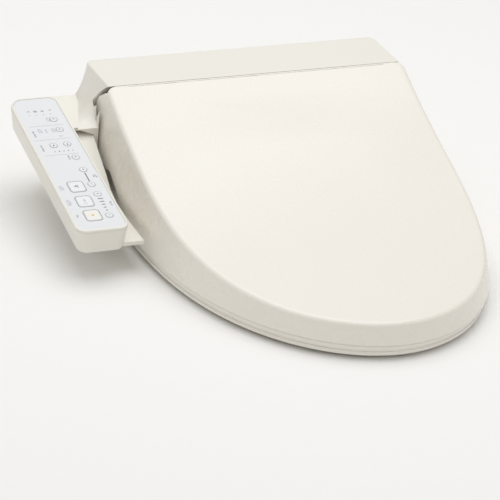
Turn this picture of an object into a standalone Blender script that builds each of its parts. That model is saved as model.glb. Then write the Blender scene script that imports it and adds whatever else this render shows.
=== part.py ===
"""Electric bidet seat: a rear unit with lid, heated seat ring and a control arm on one side.

Sizes are in millimetres and MM turns them into Blender's metres. In the design frame x = 0 is the
bowl's centre line, y = 0 the wall side of the rear unit, -Y the front and z = 0 the top of the bowl.
The whole assembly hangs from one empty that puts the middle of its footprint at the world origin.
"""

from math import cos, pi, radians, sin, tau

import bmesh
import bpy
from mathutils import Matrix, Vector

MM = 0.001
GAP = 0.3  # between neighbouring pieces

# Rear unit
BODY_HALF = 188.5
BODY_TOP = 151.0
BODY_DEPTH = 84.0
FLARE_X = -204.0  # the unit's left side spreads towards the control arm
FLARE_Z = 104.0
BASE_BOTTOM = 3.3
PARTING_Z = 30.0
NOSE_HALF = 183.0  # the low part of the unit that reaches forward under the lid
NOSE_TOP = 57.0
NOSE_FRONT = -166.0
CORNER = 9.0
WALL = 3.0
PLATE_THICK = 3.0
SCREW_X, SCREW_Y = 168.0, -12.0
PORT_Z = 17.0  # height of the water inlet, the cord gland, the drain knob and the release button
INLET_Y = -30.0
GLAND_Y = -56.0
DRAIN_Y = -128.0
BUTTON_Y = -104.0
FAN_X, FAN_Y = -130.0, -112.0

# Hinge line that the seat and the lid share
HINGE_Y = -105.0
HINGE_Z = 107.0
EAR_RADIUS = 48.0
POCKET_RADIUS = 49.7
PIN_RADIUS = 4.0
PIN_BORE = 4.4

# Lid
LID_HALF = 191.0
LID_REAR = -85.0
LID_SIDE_END = -212.0
LID_FRONT = -528.6
LID_FLARE = 6.6
LID_EDGE_Z = 18.7
LID_WALL = 3.0
LID_CROWN = 9.0
LID_DROP = 107.4

# Seat ring
SEAT_REAR = -172.0
SEAT_BOTTOM = 3.3
SEAT_PARTING = 10.8
SEAT_WALL = 2.5
HOLE_HALF = 104.0
HOLE_REAR = -205.0
HOLE_SIDE_END = -285.0
HOLE_FRONT = -455.0

# Control box, in its own tilted frame: u across, v towards the front, w out of the panel
BOX_X = -291.0
BOX_REAR = -13.0
BOX_TOP = 114.0
BOX_WIDTH = 63.2
BOX_LENGTH = 268.8
BOX_DEPTH = 31.7
BOX_TILT = 10.54
BOX_DRAFT = 5.85
ARM_LENGTH = 68.0
BOX_CORNER = 12.0
BOX_REAR_ROUND = 1.5  # the rear outer corner's radius over the others'
BOX_TAPER = 3.4
RIM = 2.7
KEY_TRAVEL = 0.8

# Nozzle, in its own frame: its tip is at the origin and the wand runs back along +Y
NOZZLE_TIP = (0.0, -158.0, 19.0)
NOZZLE_TILT = 8.0
WAND_RADIUS = 5.5
WAND_LENGTH = 138.0
RACK_PITCH = pi  # module 1
PINION_TEETH = 12
PINION_V = 50.0

SIDES = ((-1, "left"), (1, "right"))

SHIFT_X = -(BOX_X + LID_HALF + LID_FLARE) / 2
SHIFT_Y = -(LID_FRONT - LID_FLARE) / 2

# name: (red, green, blue, roughness, metallic), colours linear
FINISHES = {
    "ivory_abs": (0.86, 0.82, 0.74, 0.28, 0.0),
    "ivory_seat": (0.87, 0.83, 0.75, 0.24, 0.0),
    "panel_film": (0.80, 0.82, 0.84, 0.35, 0.0),
    "key_film": (0.82, 0.84, 0.86, 0.35, 0.0),
    "stop_key": (0.85, 0.83, 0.72, 0.35, 0.0),
    "rubber": (0.55, 0.54, 0.51, 0.75, 0.0),
    "nylon_white": (0.78, 0.78, 0.75, 0.45, 0.0),
    "tank_plastic": (0.62, 0.64, 0.66, 0.40, 0.0),
    "steel": (0.56, 0.57, 0.58, 0.30, 1.0),
    "brass": (0.75, 0.58, 0.30, 0.32, 1.0),
    "board_green": (0.03, 0.20, 0.09, 0.45, 0.0),
    "coil_copper": (0.60, 0.28, 0.13, 0.38, 1.0),
    "black_abs": (0.03, 0.03, 0.03, 0.45, 0.0),
    "heater_foil": (0.70, 0.70, 0.72, 0.35, 1.0),
    "filter_carbon": (0.05, 0.05, 0.05, 0.85, 0.0),
    "sensor_window": (0.06, 0.02, 0.02, 0.10, 0.0),
    "hose_silicone": (0.70, 0.70, 0.66, 0.55, 0.0),
}


def clear_scene():
    for obj in list(bpy.data.objects):
        bpy.data.objects.remove(obj)


def collection(name):
    made = bpy.data.collections.new(name)
    bpy.context.scene.collection.children.link(made)
    return made


def material(name):
    found = bpy.data.materials.get(name)
    if found:
        return found
    red, green, blue, roughness, metallic = FINISHES[name]
    made = bpy.data.materials.new(name)
    made.use_nodes = True
    shader = made.node_tree.nodes["Principled BSDF"]
    shader.inputs["Base Color"].default_value = (red, green, blue, 1.0)
    shader.inputs["Roughness"].default_value = roughness
    shader.inputs["Metallic"].default_value = metallic
    return made


clear_scene()
PARTS = collection("bidet_seat")
CUTTERS = collection("bidet_seat_cutters")


def empty(name, location, rotation=(0.0, 0.0, 0.0), parent=None):
    made = bpy.data.objects.new(name, None)
    made.location = Vector(location) * MM
    made.rotation_euler = rotation
    made.parent = parent
    PARTS.objects.link(made)
    return made


FRAME = empty("assembly_frame", (SHIFT_X, SHIFT_Y, 0.0))
PANEL = empty("panel_frame", (BOX_X, BOX_REAR, BOX_TOP), (radians(BOX_TILT), 0.0, 0.0), FRAME)
NOZZLE = empty("nozzle_frame", NOZZLE_TIP, (radians(NOZZLE_TILT), 0.0, 0.0), FRAME)
HINGE = empty("hinge_frame", (0.0, HINGE_Y, HINGE_Z), (0.0, 0.0, 0.0), FRAME)


def new_object(name, mesh_maker, finish, parent=None, origin=(0.0, 0.0, 0.0)):
    """mesh_maker is a bmesh in millimetres in the parent's frame; the object's origin goes to origin."""
    bmesh.ops.recalc_face_normals(mesh_maker, faces=mesh_maker.faces)
    bmesh.ops.translate(mesh_maker, vec=-Vector(origin), verts=mesh_maker.verts)
    bmesh.ops.scale(mesh_maker, vec=(MM, MM, MM), verts=mesh_maker.verts)
    mesh = bpy.data.meshes.new(name)
    mesh_maker.to_mesh(mesh)
    mesh_maker.free()
    made = bpy.data.objects.new(name, mesh)
    made.location = Vector(origin) * MM
    made.parent = parent or FRAME
    if finish:
        mesh.materials.append(material(finish))
        mesh.shade_smooth()
        mesh.set_sharp_from_angle(angle=radians(35))
        PARTS.objects.link(made)
    else:
        made.hide_render = True
        made.display_type = "WIRE"
        CUTTERS.objects.link(made)
    return made


def cuboid(x0, x1, y0, y1, z0, z1):
    made = bmesh.new()
    middle = Vector(((x0 + x1) / 2, (y0 + y1) / 2, (z0 + z1) / 2))
    size = Matrix.Diagonal((x1 - x0, y1 - y0, z1 - z0, 1.0))
    bmesh.ops.create_cube(made, size=1.0, matrix=Matrix.Translation(middle) @ size)
    return made


def rounded_cuboid(x0, x1, y0, y1, z0, z1, radius, segments=2):
    made = cuboid(x0, x1, y0, y1, z0, z1)
    bmesh.ops.bevel(made, geom=made.edges, offset=radius, segments=segments, profile=0.5,
                    affect="EDGES")
    return made


def rod(radius, start, end, sides=24, end_radius=None):
    """A cylinder or cone from one point to another."""
    made = bmesh.new()
    start = Vector(start)
    run = Vector(end) - start
    turn = Vector((0.0, 0.0, 1.0)).rotation_difference(run).to_matrix().to_4x4()
    bmesh.ops.create_cone(
        made, cap_ends=True, segments=sides, radius1=radius,
        radius2=radius if end_radius is None else end_radius, depth=run.length,
        matrix=Matrix.Translation(start + run / 2) @ turn)
    return made


def prism(points, axis, low, high):
    """A flat outline, drawn in the two other axes in X, Y, Z order, extruded along one axis."""
    made = bmesh.new()
    spots = []
    for first, second in points:
        spot = [first, second]
        spot.insert("XYZ".index(axis), low)
        spots.append(made.verts.new(spot))
    face = made.faces.new(spots)
    grown = bmesh.ops.extrude_face_region(made, geom=[face])
    moved = [item for item in grown["geom"] if isinstance(item, bmesh.types.BMVert)]
    step = Vector([high - low if letter == axis else 0.0 for letter in "XYZ"])
    bmesh.ops.translate(made, vec=step, verts=moved)
    return made


def loft(rings, cap_first=False, cap_last=False):
    """A skin through rings of equally many points."""
    made = bmesh.new()
    loops = [[made.verts.new(point) for point in ring] for ring in rings]
    count = len(rings[0])
    for lower, upper in zip(loops, loops[1:]):
        for i in range(count):
            j = (i + 1) % count
            made.faces.new((lower[i], lower[j], upper[j], upper[i]))
    if cap_first:
        made.faces.new(loops[0][::-1])
    if cap_last:
        made.faces.new(loops[-1])
    return made


def closed_turn(profile, sides, centre, axis="Z"):
    """A turned solid: profile is (radius, height) from one end on the axis to the other."""
    rings = []
    for radius, height in profile:
        ring = []
        for i in range(sides):
            angle = tau * i / sides
            flat = (radius * cos(angle), radius * sin(angle))
            if axis == "Z":
                ring.append((centre[0] + flat[0], centre[1] + flat[1], centre[2] + height))
            else:
                ring.append((centre[0] + height, centre[1] + flat[0], centre[2] + flat[1]))
        rings.append(ring)
    return loft(rings, cap_first=True, cap_last=True)


def combine(target, other, operation):
    """Solidified shells with steps in them need the solver that takes closed meshes only."""
    modifier = target.modifiers.new(other.name, "BOOLEAN")
    modifier.operation = operation
    modifier.object = other
    modifier.solver = "MANIFOLD" if "wall" in target.modifiers else "EXACT"


def cut(target, shape, name, parent=None):
    combine(target, new_object(name, shape, None, parent), "DIFFERENCE")


def add(target, shape, name, parent=None):
    combine(target, new_object(name, shape, None, parent), "UNION")


def bevel(target, width, segments=2, angle=50.0):
    modifier = target.modifiers.new("rounded edges", "BEVEL")
    modifier.width = width * MM
    modifier.segments = segments
    modifier.limit_method = "ANGLE"
    modifier.angle_limit = radians(angle)


def thicken(target, width, outwards=False):
    modifier = target.modifiers.new("wall", "SOLIDIFY")
    modifier.thickness = width * MM
    modifier.offset = 1.0 if outwards else -1.0
    modifier.use_even_offset = True


def plan_outline(half, rear, side_end, front, corner, along=1.0, across=1.033,
                 side_steps=4, front_steps=13):
    """Half of the plan, from the middle of the rear to the middle of the front, and its mirror image.

    The sides are straight to side_end, then run round a superellipse to the front.
    """
    straight = half - corner
    right = [(0.0, rear), (straight * 0.5, rear), (straight - 10.0, rear), (straight, rear)]
    for i in range(1, 5):
        angle = pi / 2 * i / 4
        right.append((half - corner + corner * sin(angle), rear - corner + corner * cos(angle)))
    for i in range(1, side_steps + 1):
        right.append((half, rear - corner + (side_end - rear + corner) * i / side_steps))
    for i in range(1, front_steps + 1):
        angle = pi / 2 * i / front_steps
        x = half * cos(angle) ** across if i < front_steps else 0.0
        right.append((x, side_end + (front - side_end) * sin(angle) ** along))
    left = [(-x, y) for x, y in right[-2:0:-1]]
    return right + left


def lid_outline(offset, rear=LID_REAR, corner=8.0):
    return plan_outline(LID_HALF + offset, rear, LID_SIDE_END, LID_FRONT - offset, corner, along=0.846)


def hole_outline(offset):
    return plan_outline(HOLE_HALF + offset, HOLE_REAR + offset, HOLE_SIDE_END, HOLE_FRONT - offset,
                        60.0 + offset, along=0.9)


def lid_crease(y):
    """Height of the lid's rounded upper edge: steep behind, level at the front."""
    u = (LID_REAR - y) / (LID_REAR + 525.0)
    return BODY_TOP - 0.6 - LID_DROP * (-0.102 * u + 1.102 * (2 * u - u * u))


def lid_edge(x, y):
    """Height of the lid's lower edge: level along the seat, rising to the ears, a short lip behind."""
    if abs(x) < LID_HALF - 9.0 and y > LID_REAR - 1.5:
        return BODY_TOP - 10.0
    if y <= -200.0:
        return LID_EDGE_Z
    low = HINGE_Z - EAR_RADIUS + 4.5
    return min(low, LID_EDGE_Z + (low - LID_EDGE_Z) * (y + 200.0) / 74.7)


def crown_share(y):
    """The lid's crown fades out towards the straight rear edge, which is level with the rear unit."""
    share = min(max((LID_REAR - y) / 110.0, 0.0), 1.0)
    return share * share * (3 - 2 * share)


def seat_top(y):
    return 34.0 + (y - LID_FRONT) * 0.07


def between(first, second, share):
    return [((1 - share) * a + share * c, (1 - share) * b + share * d)
            for (a, b), (c, d) in zip(first, second)]


def at_height(outline, height):
    """The outline's points with a height, which is a number or a function of x and y."""
    if callable(height):
        return [(x, y, height(x, y)) for x, y in outline]
    return [(x, y, height) for x, y in outline]


# ---------------------------------------------------------------- rear unit


def hinge_rod(radius, first, last, sides=24):
    """A cylinder on the hinge line."""
    return rod(radius, (first, HINGE_Y, HINGE_Z), (last, HINGE_Y, HINGE_Z), sides)


def rounded_block(outline, radius):
    """The high rear block, from an outline in X and Z: its rear corners and its top's ends are rounded."""
    block = prism(outline, "Y", -BODY_DEPTH, 0.0)
    edges = []
    for edge in block.edges:
        first, second = (vert.co for vert in edge.verts)
        behind = min(first.y, second.y) > -1.0
        on_top = min(first.z, second.z) > BODY_TOP - 1.0
        along_base = max(first.z, second.z) < PARTING_Z + 1.0
        if (behind and not along_base) or (on_top and abs(first.x - second.x) < 1.0):
            edges.append(edge)
    bmesh.ops.bevel(block, geom=edges, offset=radius, segments=3, profile=0.5, affect="EDGES")
    return block


def room(name, outline, axis, low, high):
    """A hollow inside the cover that stays a wall's thickness away from the round pocket."""
    made = new_object(name, prism(outline, axis, low, high), None)
    limit = new_object(f"{name}_limit", hinge_rod(POCKET_RADIUS + WALL, -230, 230, 48), None)
    combine(made, limit, "DIFFERENCE")
    return made


def make_top_cover():
    """One moulding: a high block behind, a low nose in front, a round pocket for the lid's swing."""
    side = [(BODY_HALF, PARTING_Z + GAP), (BODY_HALF, BODY_TOP), (-BODY_HALF, BODY_TOP),
            (FLARE_X, FLARE_Z), (FLARE_X, PARTING_Z + GAP)]
    cover = new_object("top_cover", rounded_block(side, CORNER), "ivory_abs")
    nose = [(-50.0, PARTING_Z + GAP), (-50.0, NOSE_TOP), (-148.0, NOSE_TOP), (-161.0, NOSE_TOP - 9.0),
            (NOSE_FRONT, NOSE_TOP - 20.0), (NOSE_FRONT, PARTING_Z + GAP)]
    add(cover, prism(nose, "X", -NOSE_HALF, NOSE_HALF), "nose")
    reach = -FLARE_X - 3.5
    cut(cover, hinge_rod(POCKET_RADIUS, -reach, reach, 48), "pocket")
    under_top = BODY_TOP - WALL
    left_wall = FLARE_X + WALL + 0.4
    block_room = [(BODY_HALF - WALL, PARTING_Z - 5), (BODY_HALF - WALL, under_top),
                  (-BODY_HALF + 3.4, under_top), (left_wall, FLARE_Z - 2), (left_wall, PARTING_Z - 5)]
    combine(cover, room("room_in_block", block_room, "Y", -BODY_DEPTH + 1, -WALL), "DIFFERENCE")
    nose_room = [(-49.0, PARTING_Z - 5), (-49.0, NOSE_TOP - WALL - 0.4), (-147.0, NOSE_TOP - WALL - 0.4),
                 (-158.5, NOSE_TOP - 11.0), (NOSE_FRONT + WALL, NOSE_TOP - 21.0),
                 (NOSE_FRONT + WALL, PARTING_Z - 5)]
    inside = NOSE_HALF - WALL
    combine(cover, room("room_in_nose", nose_room, "X", -inside, inside), "DIFFERENCE")
    foot = NOSE_TOP - 6
    post = [(HINGE_Y - 11, foot), (HINGE_Y - 11, HINGE_Z), (HINGE_Y + 11, HINGE_Z), (HINGE_Y + 11, foot)]
    saddle = HINGE_Z - 10.6
    cradle = [(HINGE_Y - 8, foot), (HINGE_Y - 8, saddle), (HINGE_Y + 8, saddle), (HINGE_Y + 8, foot)]
    for sign, tag in SIDES:
        ends = sorted((sign * 149.0, sign * 167.0))
        add(cover, prism(post, "X", *ends), f"hinge_post_{tag}")
        add(cover, hinge_rod(13.0, *ends), f"hinge_boss_{tag}")
        cut(cover, hinge_rod(PIN_BORE, ends[0] - 8, ends[1] + 8, 20), f"hinge_bore_{tag}")
        x = sign * SCREW_X
        add(cover, rod(5.0, (x, SCREW_Y, PARTING_Z - 22.0), (x, SCREW_Y, BODY_TOP - 1.0), 16),
            f"screw_post_{tag}")
        cut(cover, rod(2.1, (x, SCREW_Y, 0.0), (x, SCREW_Y, PARTING_Z + 8.0), 12), f"screw_bore_{tag}")
    for sign, tag in SIDES:
        add(cover, prism(cradle, "X", *sorted((sign * 100.0, sign * 122.0))), f"damper_cradle_{tag}")


def rounded_corner(x, y, radius, side):
    """Points round a rear corner of the plan, counter-clockwise, on the right (+1) or the left (-1)."""
    points = []
    for i in range(4):
        angle = pi / 2 * i / 3
        points.append((x - side * radius * (1 - cos(angle)), y - radius * (1 - sin(angle))))
    return points if side > 0 else points[::-1]


def make_base_case():
    right = BODY_HALF - 0.3
    plan = [(FLARE_X, -BODY_DEPTH), (-NOSE_HALF, -BODY_DEPTH - 6.0), (-NOSE_HALF, NOSE_FRONT),
            (NOSE_HALF, NOSE_FRONT), (NOSE_HALF, -BODY_DEPTH - 6.0), (right, -BODY_DEPTH)]
    plan += rounded_corner(right, 0.0, CORNER, 1) + rounded_corner(FLARE_X, 0.0, CORNER, -1)
    base = new_object("base_case", prism(plan, "Z", BASE_BOTTOM, PARTING_Z), "ivory_abs")
    inside = NOSE_HALF - WALL
    inner = [(FLARE_X + WALL, -BODY_DEPTH + WALL), (-inside, -BODY_DEPTH - 3), (-inside, NOSE_FRONT + WALL),
             (inside, NOSE_FRONT + WALL), (inside, -BODY_DEPTH - 7), (right - WALL, -BODY_DEPTH - 2)]
    inner += rounded_corner(right - WALL, -WALL, CORNER - WALL, 1)
    inner += rounded_corner(FLARE_X + WALL, -WALL, CORNER - WALL, -1)
    cut(base, prism(inner, "Z", BASE_BOTTOM + WALL, PARTING_Z + 5), "base_room")
    cut(base, cuboid(-13.5, 13.5, NOSE_FRONT - 3, NOSE_FRONT + 6, 9.0, PARTING_Z + 3), "nozzle_mouth")
    for sign, tag in SIDES:
        x = sign * SCREW_X
        cut(base, rod(2.1, (x, SCREW_Y, 0.0), (x, SCREW_Y, 8.0), 12), f"case_screw_hole_{tag}")
    for name, y, radius in (("inlet", INLET_Y, 8.4), ("gland", GLAND_Y, 5.4), ("drain", DRAIN_Y, 6.4)):
        cut(base, rod(radius, (178, y, PORT_Z), (192, y, PORT_Z)), f"{name}_hole")
    cut(base, cuboid(178, 192, BUTTON_Y - 8.3, BUTTON_Y + 8.3, PORT_Z - 5.3, PORT_Z + 5.3), "release_hole")
    cut(base, cuboid(-95, -45, -150, -132, 0.0, 8.0), "air_outlet")


def make_mounting_plate():
    plate = new_object("mounting_plate", cuboid(-95, 95, -150, -40, 0.0, PLATE_THICK), "nylon_white")
    radius, straight, middle = 6.5, 18.0, -112.0
    for x in (-77.5, 77.5):
        slot = []
        for end, first in ((straight, 0.0), (-straight, pi)):
            for i in range(9):
                angle = first + pi * i / 8
                slot.append((x + radius * cos(angle), middle + end + radius * sin(angle)))
        cut(plate, prism(slot, "Z", -2.0, 6.0), "bolt_slot")
    bevel(plate, 0.8, 1, 60)


def make_case_screws():
    profile = [(3.4, 0.9), (3.6, 1.4), (3.6, 2.9), (1.7, 3.0), (1.7, 33.0), (0.6, 35.0)]
    for sign, tag in SIDES:
        screw = closed_turn(profile, 14, (sign * SCREW_X, SCREW_Y, 0.0))
        new_object(f"case_screw_{tag}", screw, "steel")


# ---------------------------------------------------------------- lid and seat


def make_lid():
    rings = [at_height(lid_outline(LID_FLARE), lid_edge)]
    for offset, share in ((5.0, 0.35), (3.0, 0.7)):
        outline = lid_outline(offset)
        rings.append([(x, y, (1 - share) * lid_edge(x, y) + share * (lid_crease(y) - 6.0))
                      for x, y in outline])
    for offset, rise in ((1.2, -5.5), (0.0, -3.0), (-2.2, -0.9), (-6.0, 0.6)):
        rings.append(at_height(lid_outline(offset), lambda x, y, rise=rise: lid_crease(y) + rise))
    rim = lid_outline(-6.0)
    spine = [(0.0, min(max(y, -400.0), -150.0)) for x, y in rim]
    for share in (0.2, 0.45, 0.72, 1.0):
        crown = LID_CROWN * (1 - (1 - share) ** 2)
        rings.append(at_height(between(rim, spine, share),
                               lambda x, y, crown=crown: lid_crease(y) + 0.6 + crown * crown_share(y)))
    skin = loft(rings)
    bmesh.ops.remove_doubles(skin, verts=skin.verts, dist=0.01)
    lid = new_object("lid", skin, "ivory_abs")
    thicken(lid, LID_WALL)
    # The ears stop below the crease, and slope down behind it.
    above = [(-40.0, HINGE_Z + 19.0), (-68.0, HINGE_Z + 30.0), (-86.0, HINGE_Z + 37.0)]
    above += [(y, lid_crease(y) - 4.0) for y in (-100.0, -115.0, -130.0, -145.0, -160.0)]
    above += [(-160.0, BODY_TOP + 30.0), (-40.0, BODY_TOP + 30.0)]
    for sign, tag in SIDES:
        ear = new_object(f"ear_{tag}", hinge_rod(EAR_RADIUS, sign * 187.6, sign * 192.4, 40), None)
        cut(ear, prism(above, "X", *sorted((sign * 180.0, sign * 200.0))), f"ear_trim_{tag}")
        combine(lid, ear, "UNION")
        add(lid, hinge_rod(11.5, sign * 169, sign * 189), f"lid_boss_{tag}")
        cut(lid, hinge_rod(PIN_BORE, sign * 160, sign * 186.6, 20), f"lid_bore_{tag}")


def make_seat_shells():
    inner = [hole_outline(offset) for offset in (16.0, 5.0, 0.0)]

    def outer(offset):
        return lid_outline(offset, SEAT_REAR, 24.0)

    def top(rise):
        return lambda x, y: seat_top(y) + rise

    shell_rings = [at_height(outer(5.0), SEAT_PARTING + GAP), at_height(outer(5.0), 17.6),
                   at_height(outer(-1.5), 18.4), at_height(outer(-3.0), top(-8.0)),
                   at_height(outer(-5.5), top(-2.0)), at_height(outer(-11.0), top(0.0)),
                   at_height(between(outer(-11.0), inner[0], 0.5), top(0.5)),
                   at_height(inner[0], top(-1.5)), at_height(inner[1], top(-6.0)),
                   at_height(inner[2], top(-14.0)), at_height(inner[2], SEAT_PARTING + GAP)]
    upper = new_object("seat_upper_shell", loft(shell_rings), "ivory_seat")
    thicken(upper, SEAT_WALL)
    notch = (-24.0, 24.0, SEAT_REAR - 40.0, SEAT_REAR + 10.0, 0.0, 30.0)
    cut(upper, cuboid(*notch), "nozzle_notch_above")
    tray_rings = [at_height(outer(4.6), SEAT_PARTING), at_height(outer(4.2), SEAT_BOTTOM + 4.0),
                  at_height(outer(-3.6), SEAT_BOTTOM), at_height(inner[1], SEAT_BOTTOM),
                  at_height(inner[2], SEAT_BOTTOM + 2.5), at_height(inner[2], SEAT_PARTING)]
    lower = new_object("seat_lower_shell", loft(tray_rings), "ivory_seat")
    thicken(lower, SEAT_WALL)
    cut(lower, cuboid(*notch), "nozzle_notch_below")


def make_seat_arms():
    """The two arms that carry the seat shell's rear wall on the hinge pins."""
    seam = SEAT_REAR + GAP
    outline = [(HINGE_Y, HINGE_Z + 12.9), (HINGE_Y - 30.0, HINGE_Z + 4.0), (seam, seat_top(SEAT_REAR) - 0.5),
               (seam, 46.0), (HINGE_Y - 8.0, HINGE_Z - 10.5), (HINGE_Y, HINGE_Z - 12.9)]
    for sign, tag in SIDES:
        ends = sorted((sign * 130.0, sign * 147.0))
        arm = new_object(f"seat_arm_{tag}", prism(outline, "X", *ends), "ivory_seat")
        add(arm, hinge_rod(13.0, *ends), f"seat_boss_{tag}")
        cut(arm, hinge_rod(PIN_BORE, ends[0] - 5, ends[1] + 5, 20), f"seat_bore_{tag}")


def make_seat_heater():
    """A foil heater that follows the underside of the seat's top, open at the back like a horseshoe."""
    steps = 22
    middle = -330.0
    sections = []
    for i in range(steps + 1):
        angle = radians(-16 + 212 * i / steps)
        outer = (158.0 * cos(angle), middle - 166.0 * sin(angle))
        inner = (130.0 * cos(angle), middle - 151.0 * sin(angle))
        corners = ((outer, 5.0), (inner, 5.4), (inner, 6.2), (outer, 5.8))
        sections.append([(x, y, seat_top(y) - drop) for (x, y), drop in corners])
    new_object("seat_heater", loft(sections, cap_first=True, cap_last=True), "heater_foil")


def make_bumpers():
    spots = {"seat_bumper_front_left": (-96.0, -462.0), "seat_bumper_front_right": (96.0, -462.0),
             "seat_bumper_rear_left": (-148.0, -250.0), "seat_bumper_rear_right": (148.0, -250.0)}
    for name, (x, y) in spots.items():
        profile = [(9.0, 0.0), (10.5, 1.2), (10.5, SEAT_BOTTOM - GAP)]
        new_object(name, closed_turn(profile, 20, (x, y, 0.0)), "rubber")
    for sign, tag in SIDES:
        x, y = sign * 104.0, -440.0
        low = seat_top(y) + 0.9
        profile = [(5.0, low), (6.0, low + 1.0), (6.0, lid_crease(y) - 2.0)]
        new_object(f"lid_bumper_{tag}", closed_turn(profile, 16, (x, y, 0.0)), "rubber")


def make_hinges():
    for sign, tag in SIDES:
        new_object(f"hinge_pin_{tag}", hinge_rod(PIN_RADIUS, sign * 106.0, sign * 186.2, 20), "steel")
        damper = new_object(f"damper_{tag}", hinge_rod(10.0, sign * 97.0, sign * 127.0, 20), "black_abs")
        cut(damper, hinge_rod(PIN_BORE, sign * 105.0, sign * 135.0, 20), f"damper_bore_{tag}")


# ---------------------------------------------------------------- control box


def rounded_rectangle(u0, u1, v0, v1, radius, w, steps=7):
    """Ring in the panel's frame, where -Y is v. The box narrows a little to the rear on its outer side, and
    its outlines have a rounder corner there."""
    outer = radius * (BOX_REAR_ROUND if v1 - v0 > BOX_LENGTH / 2 else 1.0)
    ring = []
    corners = ((u1 - radius, v0 + radius, radius), (u0 + outer, v0 + outer, outer),
               (u0 + radius, v1 - radius, radius), (u1 - radius, v1 - radius, radius))
    for quarter, (cu, cv, r) in enumerate(corners):
        for i in range(steps + 1):
            angle = pi / 2 * (quarter + i / steps)
            u, v = cu + r * cos(angle), cv - r * sin(angle)
            taper = BOX_TAPER * max(1 - v / (BOX_LENGTH - BOX_CORNER), 0.0) * (1 - u / BOX_WIDTH)
            ring.append((u + taper, -v, w))
    return ring


def make_control_case():
    left, right, rear, front = BOX_DRAFT, BOX_WIDTH - 1.5, 3.0, BOX_LENGTH - 1.0
    outer = [rounded_rectangle(0.0, BOX_WIDTH, 0.0, BOX_LENGTH, BOX_CORNER, -2.6),
             rounded_rectangle(left - 1.0, right + 0.3, rear - 0.6, front + 0.2, BOX_CORNER,
                               -BOX_DEPTH + 2.5),
             rounded_rectangle(left - 0.1, right - 0.5, rear + 0.3, front - 0.6, BOX_CORNER - 0.8,
                               -BOX_DEPTH + 0.8),
             rounded_rectangle(left + 2.0, right - 2.5, rear + 2.0, front - 2.5, BOX_CORNER - 2.0,
                               -BOX_DEPTH)]
    case = new_object("control_case", loft(outer, cap_first=True, cap_last=True), "ivory_abs", PANEL)
    inset = 2.6
    room_top = (inset, BOX_WIDTH - inset, inset, BOX_LENGTH - inset, 10.0)
    inner = [rounded_rectangle(*room_top, 3.0), rounded_rectangle(*room_top, -2.0),
             rounded_rectangle(left + inset, right - inset, rear + inset, front - inset, 9.5,
                               -BOX_DEPTH + 3.0)]
    cut(case, loft(inner, cap_first=True, cap_last=True), "control_room", PANEL)
    web = [(-8.0, 104.0), (-79.0, 92.5), (-90.0, 88.0), (-108.0, 77.0), (-134.0, 62.0), (-150.0, 51.0),
           (-170.0, 44.0), (-215.0, 39.5), (-262.0, 38.5), (-262.0, 34.0), (-215.0, 32.0), (-150.0, 26.0),
           (-84.0, 12.0),
           (-22.0, 12.0), (-8.0, 26.0)]
    add(case, prism(web, "X", BOX_X + BOX_WIDTH - 1.9, FLARE_X - GAP), "arm_web")


KEYS = {  # name: (u, v, width, length)
    "key_rear_wash": (0.425, 0.682, 17.5, 19.0),
    "key_front_wash": (0.424, 0.790, 17.5, 19.0),
    "key_stop": (0.432, 0.892, 17.5, 19.0),
    "key_position_back": (0.725, 0.565, 8.0, 8.0),
    "key_position_forward": (0.725, 0.675, 8.0, 8.0),
    "key_pressure_up": (0.735, 0.747, 8.0, 8.0),
    "key_pressure_down": (0.735, 0.902, 8.0, 8.0),
    "key_nozzle_clean": (0.715, 0.471, 8.0, 8.0),
    "key_water_temperature": (0.418, 0.371, 8.0, 8.0),
    "key_seat_temperature": (0.696, 0.369, 8.0, 8.0),
    "key_energy_saver": (0.706, 0.257, 8.0, 8.0),
    "key_power": (0.700, 0.178, 8.0, 8.0),
}


def key_place(name):
    u, v, width, length = KEYS[name]
    return u * BOX_WIDTH, v * BOX_LENGTH, width, length


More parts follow.
